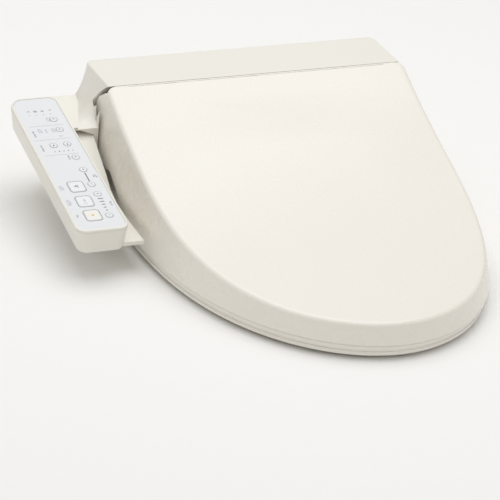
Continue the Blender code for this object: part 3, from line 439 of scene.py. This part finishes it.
TRAY_RINGS = [("outer", 4.6, None, PARTING), ("outer", 4.4, None, TRAY_BOTTOM + 6.0)]
for step in range(6):
    angle = pi / 2 * step / 5
    TRAY_RINGS.append(("outer", 4.2 - 7.8 * (1 - cos(angle)), None, TRAY_BOTTOM + 4.0 * (1 - sin(angle))))
TRAY_RINGS += [("hole", 5.0, None, TRAY_BOTTOM), ("hole", 2.0, None, TRAY_BOTTOM + 0.7),
               ("hole", 0.0, None, TRAY_BOTTOM + 2.5), ("hole", 0.0, None, PARTING)]
skin = bent_sheet(AROUND, len(TRAY_RINGS) - 1, lambda u, v: shell_point(TRAY_RINGS, u, v))
bmesh.ops.recalc_face_normals(skin, faces=skin.faces)
cut_notch(skin)
tray = make_piece("seat_lower_moulding", skin, seat_polypropylene, crisp=60.0)
wall(tray, SEAT_WALL)
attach(tray, "seat")
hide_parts("seat_lower_shell")

# ---------------------------------------------------------------- Rear unit's cover
# One ABS moulding over the works: a high block behind, with a hollow cheek that spreads on to the control
# arm, and a low nose under the lid. A round pocket between them gives the lid's cheeks room to swing.
BODY_HALF, BODY_DEPTH, FOOT_X, COVER_FOOT = 188.5, 84.0, -204.0, 30.3
POCKET_RADIUS, POCKET_LEFT, POCKET_RIGHT = 49.7, -198.2, 200.5
NOSE_HALF, NOSE_TOP, NOSE_FRONT, COVER_WALL = 183.0, 57.0, -166.0, 3.0
PLAN_ROUND, TOP_ROUND = 10.0, 3.0
BOX_X, BOX_REAR, BOX_TOP, BOX_TILT = -291.0, -13.0, 114.0, radians(10.54)
ARM_SINK = 0.4  # the arm's top is this far under the panel's rim
CHEEK_STEPS, ROUND_STEPS = 24, 6
CHEEK_FADE = -52.0  # from here forward the cheek outside the pocket dies away on to the arm


def arm_height(y):
    """Height of the control arm's top, which slopes down to the front as the panel does."""
    return BOX_TOP - ARM_SINK + (y - BOX_REAR) * tan(BOX_TILT)


def rounding(radius, y):
    """How far a rounded rear edge has drawn in at y, with the rear face at 0."""
    return radius - sqrt(radius ** 2 - max(radius + y, 0.0) ** 2)


def cover_section(y):
    """The cover's outline across, from the left foot up the hollow cheek, over the top and down again."""
    inset, top = rounding(PLAN_ROUND, y), BODY_TOP - rounding(TOP_ROUND, y)
    half, shoulder = BODY_HALF - inset, top - TOP_ROUND
    arm_y = min(y, BOX_REAR)
    foot = Vector((-194.8 + 0.3475 * arm_y + inset, arm_height(arm_y) - 0.2))
    head = Vector((-half, shoulder))
    bend = Vector((head.x + 0.35 * (foot.x - head.x), foot.y + 0.34 * (head.y - foot.y)))
    outline = [Vector((FOOT_X + inset, z)) for z in (COVER_FOOT, 65.0, arm_height(arm_y) - 8.0)]
    fade = min(max((CHEEK_FADE - y) / 32.0, 0.0), 1.0)
    keep = 1 - fade * fade * (3 - 2 * fade)
    for step in range(CHEEK_STEPS, 0, -1):
        t = step / CHEEK_STEPS
        point = head * (1 - t) ** 2 + bend * 2 * t * (1 - t) + foot * t * t
        if point.x < POCKET_LEFT:
            point.y = foot.y + 0.3 + (point.y - foot.y - 0.3) * keep
        outline.append(point)
    arc = [pi / 2 * step / ROUND_STEPS for step in range(ROUND_STEPS + 1)]
    outline += [Vector((-half + TOP_ROUND * (1 - cos(a)), shoulder + TOP_ROUND * sin(a))) for a in arc]
    outline += [Vector((half * share, top)) for share in (-0.6, -0.2, 0.2, 0.6)]
    outline += [Vector((half - TOP_ROUND * (1 - sin(a)), shoulder + TOP_ROUND * cos(a))) for a in arc]
    outline += [Vector((half, 90.0)), Vector((half, COVER_FOOT)), outline[0]]
    return outline


def cover_block():
    rear = [-PLAN_ROUND * (1 - cos(pi / 2 * step / 10)) for step in range(11)]
    stations = rear + [BOX_REAR - 3.9 * step for step in range(18)] + [-BODY_DEPTH]
    sections = [cover_section(y) for y in stations]
    across, along = len(sections[0]) - 1, len(stations) - 1

    def place(u, v):
        station = round(v * along)
        point = sections[station][round(u * across)]
        return Vector((point.x, stations[station], point.y))

    shape = bent_sheet(across, along, place)
    bmesh.ops.holes_fill(shape, edges=[e for e in shape.edges if e.is_boundary])
    bmesh.ops.recalc_face_normals(shape, faces=shape.faces)
    return shape


def hinge_cylinder(radius, x0, x1):
    shape = bmesh.new()
    lie = Matrix.Translation(((x0 + x1) / 2, HINGE_Y, HINGE_Z)) @ Matrix.Rotation(pi / 2, 4, "Y")
    bmesh.ops.create_cone(shape, cap_ends=True, segments=128, radius1=radius, radius2=radius,
                          depth=x1 - x0, matrix=lie)
    return shape


def rounded(shape, radius, segments=3, chosen=lambda edge: True):
    """The shape with the chosen edges rounded."""
    edges = [edge for edge in shape.edges if chosen(edge)]
    bmesh.ops.bevel(shape, geom=edges, offset=radius, segments=segments, profile=0.5, affect="EDGES",
                    material=-1, clamp_overlap=True)
    return shape


def carved(shape, *others):
    """The shape with each of the others, given as (operation, shape), joined to it or cut from it."""
    spares = []
    for made in (shape, *[other for operation, other in others]):
        mesh = bpy.data.meshes.new("spare")
        made.to_mesh(mesh)
        made.free()
        spares.append(bpy.data.objects.new("spare", mesh))
        bpy.context.scene.collection.objects.link(spares[-1])
    for (operation, other), spare in zip(others, spares[1:]):
        modifier = spares[0].modifiers.new(operation, "BOOLEAN")
        modifier.operation, modifier.object, modifier.solver = operation, spare, "EXACT"
    result = bmesh.new()
    result.from_object(spares[0], bpy.context.evaluated_depsgraph_get())
    for spare in spares:
        mesh = spare.data
        bpy.data.objects.remove(spare)
        bpy.data.meshes.remove(mesh)
    bmesh.ops.remove_doubles(result, verts=result.verts, dist=0.002)
    return result


nose = rounded(slab([(-60.0, COVER_FOOT), (-60.0, NOSE_TOP), (-148.0, NOSE_TOP), (-161.0, NOSE_TOP - 9.0),
                     (NOSE_FRONT, NOSE_TOP - 20.0), (NOSE_FRONT, COVER_FOOT)], "X", -NOSE_HALF, NOSE_HALF),
               2.0, 3, lambda edge: max(v.co.z for v in edge.verts) > COVER_FOOT + 1.0
               and min(v.co.y for v in edge.verts) < -61.0)
swing = POCKET_RADIUS + COVER_WALL
block_room = slab([(185.5, 25.0), (185.5, 148.0), (-182.0, 148.0), (-196.0, 110.0), (-200.6, 98.0),
                   (-200.6, 25.0)], "Y", 1 - BODY_DEPTH, -COVER_WALL)
nose_room = slab([(-59.0, 25.0), (-59.0, 53.6), (-147.0, 53.6), (-158.5, 46.0), (-163.0, 36.0),
                  (-163.0, 25.0)], "X", COVER_WALL - NOSE_HALF, NOSE_HALF - COVER_WALL)
cover = carved(cover_block(), ("UNION", nose),
               ("DIFFERENCE", hinge_cylinder(POCKET_RADIUS, POCKET_LEFT, POCKET_RIGHT)),
               ("DIFFERENCE", carved(block_room, ("DIFFERENCE", hinge_cylinder(swing, -230.0, 230.0)))),
               ("DIFFERENCE", carved(nose_room, ("DIFFERENCE", hinge_cylinder(swing, -230.0, 230.0)))))
for side in (-1, 1):
    ends = sorted((side * 149.0, side * 167.0))
    post = slab([(HINGE_Y - 11.0, 50.0), (HINGE_Y - 11.0, HINGE_Z - 5.0), (HINGE_Y + 11.0, HINGE_Z - 5.0),
                 (HINGE_Y + 11.0, 50.0)], "X", *ends)
    join(cover, rounded(post, 1.2))
    join(cover, ring_boss(13.0, 4.4, *ends, HINGE_Y, HINGE_Z))
    cradle = slab([(HINGE_Y - 8.0, 50.0), (HINGE_Y - 8.0, 96.2), (HINGE_Y + 8.0, 96.2),
                   (HINGE_Y + 8.0, 50.0)], "X", *sorted((side * 100.0, side * 122.0)))
    join(cover, rounded(cradle, 1.0))

ivory_abs = moulded_plastic("ivory_abs_moulded", "#F1EFE8", "#EFECE3", gloss=0.30, ior=1.53)
cover = make_piece("rear_cover_moulding", cover, ivory_abs, crisp=32.0)
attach(cover, "rear_unit")
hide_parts("top_cover")


def finish_nodes(material, *names):
    """Gives CAD nodes whose shape is right their real material."""
    for name in names:
        for material_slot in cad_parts[name].material_slots:
            material_slot.material = material


# ---------------------------------------------------------------- Base, control box and release button
# The base tray, the control box with its arm, and the box's rim are ABS mouldings of the same ivory as the
# cover, screwed together from below. The release button is of it too.
finish_nodes(ivory_abs, "base_case", "control_case", "control_bezel", "release_button")

# ---------------------------------------------------------------- Control panel
# A polyester film, printed on its back in pale grey, lies in the rim over the circuit board. Its keys are
# domed areas of the same film, a little lighter, each over a switch.
BOX_WIDTH, BOX_LENGTH, BOX_TAPER = 63.2, 268.8, 3.4
PANEL_PLACE = Matrix.Translation((BOX_X, BOX_REAR, BOX_TOP)) @ Matrix.Rotation(BOX_TILT, 4, "X")
PANEL_FRAME = SEAT_FRAME @ PANEL_PLACE
FILM_TOP, KEY_TOP, INK = 0.10, 0.60, 0.05


def satin_film(name, colour, shade):
    """Matt-lacquered polyester: a fine even sparkle of the lacquer's grain, about a third of a millimetre
    here so that it shows, and a broad sheen with no sharp reflection."""
    made, where = new_material(name)
    grain = add_node(made, "ShaderNodeTexNoise", {"Scale": 1 / (0.35 * MM), "Detail": 2.0},
                     {"Vector": where})
    cloud = add_node(made, "ShaderNodeTexNoise", {"Scale": 1 / (35 * MM), "Detail": 2.0}, {"Vector": where})
    tone = add_node(made, "ShaderNodeMix", {"data_type": "RGBA", 6: srgb(colour), 7: srgb(shade)},
                    {0: cloud.outputs["Fac"]})
    rough = add_node(made, "ShaderNodeMapRange", {"To Min": 0.34, "To Max": 0.46},
                     {"Value": grain.outputs["Fac"]})
    bump = add_node(made, "ShaderNodeBump", {"Strength": 0.25, "Distance": 0.004 * MM},
                    {"Height": grain.outputs["Fac"]})
    dress(made, 1.57, tone, rough, bump)
    return made


panel_film = satin_film("polyester_film_pale_grey", "#E9EBEE", "#E5E7EA")
key_film = satin_film("polyester_film_key_white", "#F0F1F3", "#ECEEF0")
stop_film = satin_film("polyester_film_key_cream", "#F2F1EE", "#EFEEE9")
SMALL_KEYS = ("key_position_back", "key_position_forward", "key_pressure_up", "key_pressure_down",
              "key_nozzle_clean", "key_water_temperature", "key_seat_temperature", "key_energy_saver",
              "key_power")
finish_nodes(panel_film, "panel_overlay")
finish_nodes(key_film, "key_rear_wash", "key_front_wash", *SMALL_KEYS)
finish_nodes(stop_film, "key_stop")

# ---------------------------------------------------------------- Print on the panel
# Screen print on the film in dark grey, pale grey and one amber dot: plain pictures, bars and dots, with no
# lettering. Ink on a key is a piece of its own, so that it goes down with the key.
INK_WIDTH, CAPTION_PITCH = 0.55, 2.65


def ink_line(points, width=INK_WIDTH, low=FILM_TOP, closed=False):
    """A printed line through points across (u) and down (v) the panel, with square ends."""
    shape = bmesh.new()
    spots = [Vector((u, -v, 0.0)) for u, v in points]
    for start, end in zip(spots, spots[1:] + (spots[:1] if closed else [])):
        run = end - start
        size = Matrix.Diagonal((run.length + (width * 0.8 if closed else 0.0), width, INK, 1.0))
        turned = run.to_track_quat("X", "Z").to_matrix().to_4x4()
        middle = Matrix.Translation((start + end) / 2 + Vector((0.0, 0.0, low + INK / 2)))
        bmesh.ops.create_cube(shape, size=1.0, matrix=middle @ turned @ size)
    return shape


def ink_dot(u, v, radius, low=FILM_TOP, sides=20):
    shape = bmesh.new()
    bmesh.ops.create_cone(shape, cap_ends=True, segments=sides, radius1=radius, radius2=radius, depth=INK,
                          matrix=Matrix.Translation((u, -v, low + INK / 2)))
    return shape


def ink_arc(u, v, radius, start, end, width=INK_WIDTH, low=FILM_TOP, steps=10):
    """A printed arc; 0 degrees is across to the right and 90 is up the panel."""
    angles = [radians(start + (end - start) * step / steps) for step in range(steps + 1)]
    return ink_line([(u + radius * cos(a), v - radius * sin(a)) for a in angles], width, low)


def ink_frame(u, v, width, length, radius, line):
    """A printed rounded rectangle round a key."""
    points = []
    for quarter, (du, dv) in enumerate(((1, -1), (-1, -1), (-1, 1), (1, 1))):
        for step in range(6):
            angle = pi / 2 * (quarter + step / 5)
            points.append((u + du * (width / 2 - radius) + radius * cos(angle),
                           v + dv * (length / 2 - radius) - radius * sin(angle)))
    return ink_line(points, line, closed=True)


GLYPH = ((((-0.5, -0.4), (0.5, -0.4)), ((-0.5, 0.45), (0.2, 0.45)), ((0.45, -0.1), (0.45, 0.5))),
         (((-0.5, -0.45), (0.1, -0.45)), ((-0.45, -0.1), (-0.45, 0.5)), ((0.0, 0.1), (0.5, 0.1))),
         (((-0.5, 0.0), (0.5, 0.0)), ((0.0, -0.5), (0.0, -0.2)), ((-0.3, 0.5), (0.5, 0.5))))


def ink_caption(u, v, rows, columns, size=1.9):
    """A caption's stand-in: rows of small marks of three strokes each, that spell nothing."""
    shape = bmesh.new()
    for row in range(rows):
        for column in range(columns):
            across = u + (column - (columns - 1) / 2) * CAPTION_PITCH
            down = v + (row - (rows - 1) / 2) * CAPTION_PITCH
            for stroke in GLYPH[(row + column) % len(GLYPH)]:
                join(shape, ink_line([(across + size * du, down + size * dv) for du, dv in stroke], 0.5))
    return shape


def spot(across, down):
    """A share of the box's width and length as millimetres across and down the panel, which narrows a
    little to the rear on its outer side."""
    return across * BOX_WIDTH + BOX_TAPER * (1 - down) * (1 - across), down * BOX_LENGTH


grey_ink = satin_film("screen_ink_slate_grey", "#5E636E", "#6A6F7A")
pale_ink = satin_film("screen_ink_pale_grey", "#9DA3B0", "#A7ACB8")
amber_ink = satin_film("screen_ink_amber", "#E9C77A", "#E5BF6C")


def print_piece(name, shape, ink, body):
    piece = make_piece(name, shape, ink, PANEL_FRAME)
    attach(piece, body)


marks, pale_marks = bmesh.new(), bmesh.new()
# Lamps at the head of the panel: four pictures and a lamp under each.
for across in (0.269, 0.414, 0.561, 0.699):
    join(marks, ink_dot(*spot(across, 0.134), 0.55))
u, v = spot(0.287, 0.107)
join(pale_marks, ink_arc(u, v, 1.7, -60.0, 240.0))
join(pale_marks, ink_line([(u, v - 2.4), (u, v - 0.6)]))
u, v = spot(0.420, 0.107)
join(marks, ink_frame(u, v, 3.8, 2.6, 0.7, 0.5))
join(marks, ink_line([(u - 1.2, v), (u + 1.2, v)], 0.7))
u, v = spot(0.563, 0.107)
join(marks, ink_line([(u - 1.8, v + 0.9), (u, v - 1.1), (u + 1.8, v + 0.9)], 0.7))
join(marks, ink_line([(u - 1.2, v + 1.2), (u + 1.2, v + 1.2)], 0.5))
u, v = spot(0.730, 0.107)
join(pale_marks, ink_line([(u - 2.2, v + 0.6), (u - 0.4, v - 1.2), (u + 2.4, v - 0.9)], 0.6))
join(pale_marks, ink_line([(u - 0.4, v - 1.2), (u + 0.3, v + 1.4)], 0.5))
# Thin lines that part the groups, and the captions beside them.
for down, left, right in ((0.22, 0.136, 0.844), (0.325, 0.10, 0.82), (0.442, 0.15, 0.81)):
    join(pale_marks, ink_line([spot(left, down), spot(right, down)], 0.35))
for across, down, rows, columns in ((0.594, 0.176, 3, 2), (0.307, 0.256, 3, 2), (0.428, 0.260, 3, 1),
                                    (0.578, 0.259, 3, 2), (0.666, 0.306, 1, 2), (0.130, 0.682, 3, 2),
                                    (0.125, 0.790, 4, 2)):
    join(pale_marks, ink_caption(*spot(across, down), rows, columns))
for across, down, rows, columns in ((0.166, 0.277, 5, 1), (0.176, 0.386, 5, 1), (0.588, 0.467, 3, 1),
                                    (0.150, 0.888, 2, 1), (0.880, 0.618, 2, 2), (0.887, 0.821, 3, 1)):
    join(marks, ink_caption(*spot(across, down), rows, columns, 2.1))
# Temperature steps, the nozzle's place, and the five bars of the water's pressure.
for step in range(5):
    u, v = spot(0.38 + 0.09 * step, 0.417)
    join(marks, ink_line([(u, v - 0.6 - 0.5 * (step % 2)), (u, v + 0.9)], 1.0 + 0.25 * (step in (1, 2))))
join(marks, ink_line([spot(0.72, 0.588), spot(0.72, 0.653)], 1.3))
for step in range(5):
    u, v = spot(0.742, 0.781 + 0.021 * step)
    reach = 3.2 - 0.45 * step
    join(marks, ink_line([(u - reach, v), (u + reach, v)], 1.25))
# Frames round the large keys, and the ring round each small one.
for across, down in ((0.425, 0.682), (0.424, 0.790), (0.432, 0.892)):
    u, v = spot(across, down)
    join(marks, ink_frame(u, v, 19.4, 20.9, 3.9, 0.5))
SMALL_SPOTS = {"key_position_back": (0.725, 0.565), "key_position_forward": (0.725, 0.675),
               "key_pressure_up": (0.735, 0.747), "key_pressure_down": (0.735, 0.902),
               "key_nozzle_clean": (0.715, 0.471), "key_water_temperature": (0.418, 0.371),
               "key_seat_temperature": (0.696, 0.369), "key_energy_saver": (0.706, 0.257),
               "key_power": (0.700, 0.178)}
for name in SMALL_KEYS:
    u, v = spot(*SMALL_SPOTS[name])
    join(pale_marks, ink_frame(u, v, 9.4, 9.4, 4.3, 0.35))
print_piece("panel_print", marks, grey_ink, "rear_unit")
print_piece("panel_print_pale", pale_marks, pale_ink, "rear_unit")

u, v = spot(0.425, 0.682)
wash = ink_line([(u - 2.6, v + 0.4), (u - 0.6, v - 1.5), (u + 0.8, v - 0.2)], 1.5, KEY_TOP)
join(wash, ink_line([(u + 0.6, v - 0.2), (u + 1.6, v + 2.6)], 0.9, KEY_TOP))
join(wash, ink_arc(u + 3.4, v + 0.2, 2.8, 110.0, 220.0, 0.5, KEY_TOP))
print_piece("print_rear_wash", wash, grey_ink, "key_rear_wash")
u, v = spot(0.424, 0.790)
wash = ink_arc(u, v - 1.4, 1.5, 0.0, 360.0, 0.6, KEY_TOP, 16)
join(wash, ink_line([(u, v + 0.1), (u, v + 3.0)], 0.7, KEY_TOP))
join(wash, ink_arc(u, v + 2.6, 3.0, 200.0, 340.0, 0.5, KEY_TOP))
print_piece("print_front_wash", wash, pale_ink, "key_front_wash")
u, v = spot(0.432, 0.892)
print_piece("print_stop", ink_dot(u, v, 1.7, KEY_TOP, 28), amber_ink, "key_stop")
for name in SMALL_KEYS:
    u, v = spot(*SMALL_SPOTS[name])
    if name.endswith("temperature"):
        sign = ink_line([(u, v - 1.8), (u, v + 0.6)], 0.7, KEY_TOP)
        join(sign, ink_dot(u, v + 1.2, 1.0, KEY_TOP))
    elif name in ("key_position_back", "key_pressure_up"):
        sign = ink_line([(u - 1.3, v), (u + 1.3, v)], 0.8, KEY_TOP)
        join(sign, ink_line([(u, v - 1.3), (u, v + 1.3)], 0.8, KEY_TOP))
    elif name in ("key_position_forward", "key_pressure_down"):
        sign = ink_line([(u - 1.3, v), (u + 1.3, v)], 0.9, KEY_TOP)
    else:
        sign = ink_arc(u, v, 1.2, -50.0, 230.0, 0.5, KEY_TOP)
        join(sign, ink_line([(u, v - 1.8), (u, v - 0.4)], 0.5, KEY_TOP))
    print_piece(f"print_{name[4:]}", sign, grey_ink, name)

# ---------------------------------------------------------------- Bumpers and cord gland
# Pressed silicone rubber feet under the seat and lid, and the sleeve that keeps the power cord from
# kinking. The mould leaves it matt and a little dusty.


def matt_finish(name, colour, shade, grain, rough, ior=1.5, depth=0.03):
    """A dull surface with a grain of that many millimetres, in two tones that drift slowly."""
    made, where = new_material(name)
    fine = add_node(made, "ShaderNodeTexNoise", {"Scale": 1 / (grain * MM), "Detail": 4.0},
                    {"Vector": where})
    cloud = add_node(made, "ShaderNodeTexNoise", {"Scale": 1 / (14 * MM), "Detail": 3.0}, {"Vector": where})
    tone = add_node(made, "ShaderNodeMix", {"data_type": "RGBA", 6: srgb(colour), 7: srgb(shade)},
                    {0: cloud.outputs["Fac"]})
    dull = add_node(made, "ShaderNodeMapRange", {"To Min": rough * 0.85, "To Max": min(rough * 1.15, 1.0)},
                    {"Value": fine.outputs["Fac"]})
    bump = add_node(made, "ShaderNodeBump", {"Strength": 0.4, "Distance": depth * MM},
                    {"Height": fine.outputs["Fac"]})
    dress(made, ior, tone, dull, bump)
    return made


silicone_rubber = matt_finish("silicone_rubber_pressed", "#C9C6BE", "#BFBCB3", 0.5, 0.72, 1.43)
finish_nodes(silicone_rubber, "seat_bumper_front_left", "seat_bumper_front_right", "seat_bumper_rear_left",
             "seat_bumper_rear_right", "lid_bumper_left", "lid_bumper_right", "cord_gland")

# ---------------------------------------------------------------- Plate, valves and other white parts
# Acetal and polypropylene mouldings that carry load or meet water: waxy, slightly translucent white.
acetal = moulded_plastic("acetal_moulded_white", "#ECECE6", "#E4E4DC", gloss=0.42, ior=1.48, peel=0.9,
                         glow=0.12)
finish_nodes(acetal, "mounting_plate", "inlet_valve", "flow_valve", "drain_knob", "nozzle_tip",
             "nozzle_pinion", "nozzle_housing", "fan_impeller")
tank_plastic = moulded_plastic("polypropylene_glass_filled_grey", "#CFD2D4", "#C3C6C9", gloss=0.45,
                               peel=0.7, depth=0.015)
finish_nodes(tank_plastic, "water_tank")
hose_silicone = matt_finish("silicone_hose_extruded", "#DEDED8", "#D2D2CA", 0.6, 0.5, 1.43, 0.01)
finish_nodes(hose_silicone, "tank_hose", "nozzle_hose")

# ---------------------------------------------------------------- Wand, pins, screws and motor can
# Stainless and plated steel, drawn along its length: fine lines run with the drawing and stretch the
# highlights across them.


METAL_IOR = 1.5  # the shader's own default


def drawn_metal(name, colour, shade, rough, stretch):
    """Metal with lines of a third of a millimetre, stretched along the axis whose factor is small."""
    made, where = new_material(name)
    pulled = add_node(made, "ShaderNodeMapping", {"Scale": stretch}, {"Vector": where})
    lines = add_node(made, "ShaderNodeTexNoise", {"Scale": 1 / (0.33 * MM), "Detail": 3.0},
                     {"Vector": pulled.outputs["Vector"]})
    tone = add_node(made, "ShaderNodeMix", {"data_type": "RGBA", 6: srgb(colour), 7: srgb(shade)},
                    {0: lines.outputs["Fac"]})
    dull = add_node(made, "ShaderNodeMapRange", {"To Min": rough * 0.75, "To Max": rough * 1.3},
                    {"Value": lines.outputs["Fac"]})
    bump = add_node(made, "ShaderNodeBump", {"Strength": 0.3, "Distance": 0.01 * MM},
                    {"Height": lines.outputs["Fac"]})
    dress(made, METAL_IOR, tone, dull, bump).inputs["Metallic"].default_value = 1.0
    return made


steel_along_y = drawn_metal("stainless_steel_drawn", "#C9CACB", "#B9BABC", 0.26, (1.0, 0.03, 1.0))
steel_along_x = drawn_metal("stainless_steel_pin_stock", "#C6C8CA", "#B4B6B8", 0.28, (0.03, 1.0, 1.0))
steel_plated = drawn_metal("zinc_plated_steel", "#C3C6C8", "#ABAFB3", 0.34, (0.5, 0.5, 0.06))
brass = drawn_metal("brass_turned", "#D9BC7C", "#C6A661", 0.27, (1.0, 0.04, 0.04))
copper = drawn_metal("copper_wire_wound", "#C98A63", "#A9683F", 0.36, (0.05, 0.05, 1.0))
foil = drawn_metal("aluminium_foil_rolled", "#D6D7D8", "#C2C3C5", 0.33, (0.06, 1.0, 1.0))
finish_nodes(steel_along_y, "nozzle_wand")
finish_nodes(steel_along_x, "hinge_pin_left", "hinge_pin_right", "tank_heater", "nozzle_motor")
finish_nodes(steel_plated, "case_screw_left", "case_screw_right")
finish_nodes(brass, "inlet_connector")
finish_nodes(copper, "power_transformer")
finish_nodes(foil, "seat_heater")

# ---------------------------------------------------------------- Boards, dampers, fan scroll and filter
# Inside the unit: glass-epoxy boards under green solder mask, black ABS mouldings with a spark-eroded
# grain, and a pressed block of carbon granules.
solder_mask = matt_finish("glass_epoxy_solder_mask", "#2F7A53", "#286B49", 1.6, 0.38, 1.55, 0.04)
black_abs = matt_finish("black_abs_spark_eroded", "#2B2B2C", "#242425", 0.7, 0.55, 1.53, 0.04)
carbon = matt_finish("activated_carbon_pressed", "#2E2D2C", "#1E1D1D", 1.8, 0.9, 1.5, 0.4)
finish_nodes(solder_mask, "panel_circuit_board", "main_circuit_board")
finish_nodes(black_abs, "damper_left", "damper_right", "fan_housing")
finish_nodes(carbon, "deodoriser_filter")

# ---------------------------------------------------------------- Seat sensor's window
# Tinted polycarbonate, polished, that passes infrared: nearly black, with a red depth to it.
sensor_window = moulded_plastic("polycarbonate_tinted_infrared", "#32191B", "#2B1517", gloss=0.08, ior=1.58,
                                depth=0.002)
finish_nodes(sensor_window, "seat_sensor_window")

# ---------------------------------------------------------------- Studio
# A seamless pale floor, one wide soft light overhead and a little behind, and a surround that is white above
# and dim and warm at the horizon, which shades the upright walls.
floor_shape = bmesh.new()
bmesh.ops.create_grid(floor_shape, x_segments=1, y_segments=1, size=6000.0)
paper = matt_finish("seamless_paper_white", "#F7F7F6", "#F5F5F4", 1.2, 0.9, 1.5, 0.01)
floor = make_piece("studio_floor", floor_shape, paper, Matrix.Scale(MM, 4))
floor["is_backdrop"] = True


def soft_light(name, place, aim, size, power):
    """A square area light that looks from one point to another."""
    lamp = bpy.data.lights.new(name, "AREA")
    lamp.size, lamp.energy = size, power
    made = bpy.data.objects.new(name, lamp)
    made.location = place
    made.rotation_euler = (Vector(aim) - Vector(place)).to_track_quat("-Z", "Y").to_euler()
    bpy.context.scene.collection.objects.link(made)


soft_light("overhead_softbox", (0.1, 0.3, 2.6), (0.0, 0.0, 0.0), 2.4, 32.5)
world = bpy.data.worlds.new("white_surround")
world.use_nodes = True
tree = world.node_tree
direction = tree.nodes.new("ShaderNodeTexCoord")
upward = tree.nodes.new("ShaderNodeSeparateXYZ")
glow = tree.nodes.new("ShaderNodeValToRGB")
glow.color_ramp.elements[0].color = (0.36, 0.325, 0.275, 1.0)  # a warm wall at the horizon
glow.color_ramp.elements[0].position = 0.12
glow.color_ramp.elements[1].color = (0.72, 0.72, 0.72, 1.0)  # the white ceiling
glow.color_ramp.elements[1].position = 0.75
tree.links.new(direction.outputs["Generated"], upward.inputs["Vector"])
tree.links.new(upward.outputs["Z"], glow.inputs["Fac"])
tree.links.new(glow.outputs["Color"], tree.nodes["Background"].inputs["Color"])
bpy.context.scene.world = world
bpy.context.scene.view_settings.view_transform = "Standard"

# ---------------------------------------------------------------- Sizes
low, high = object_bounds()
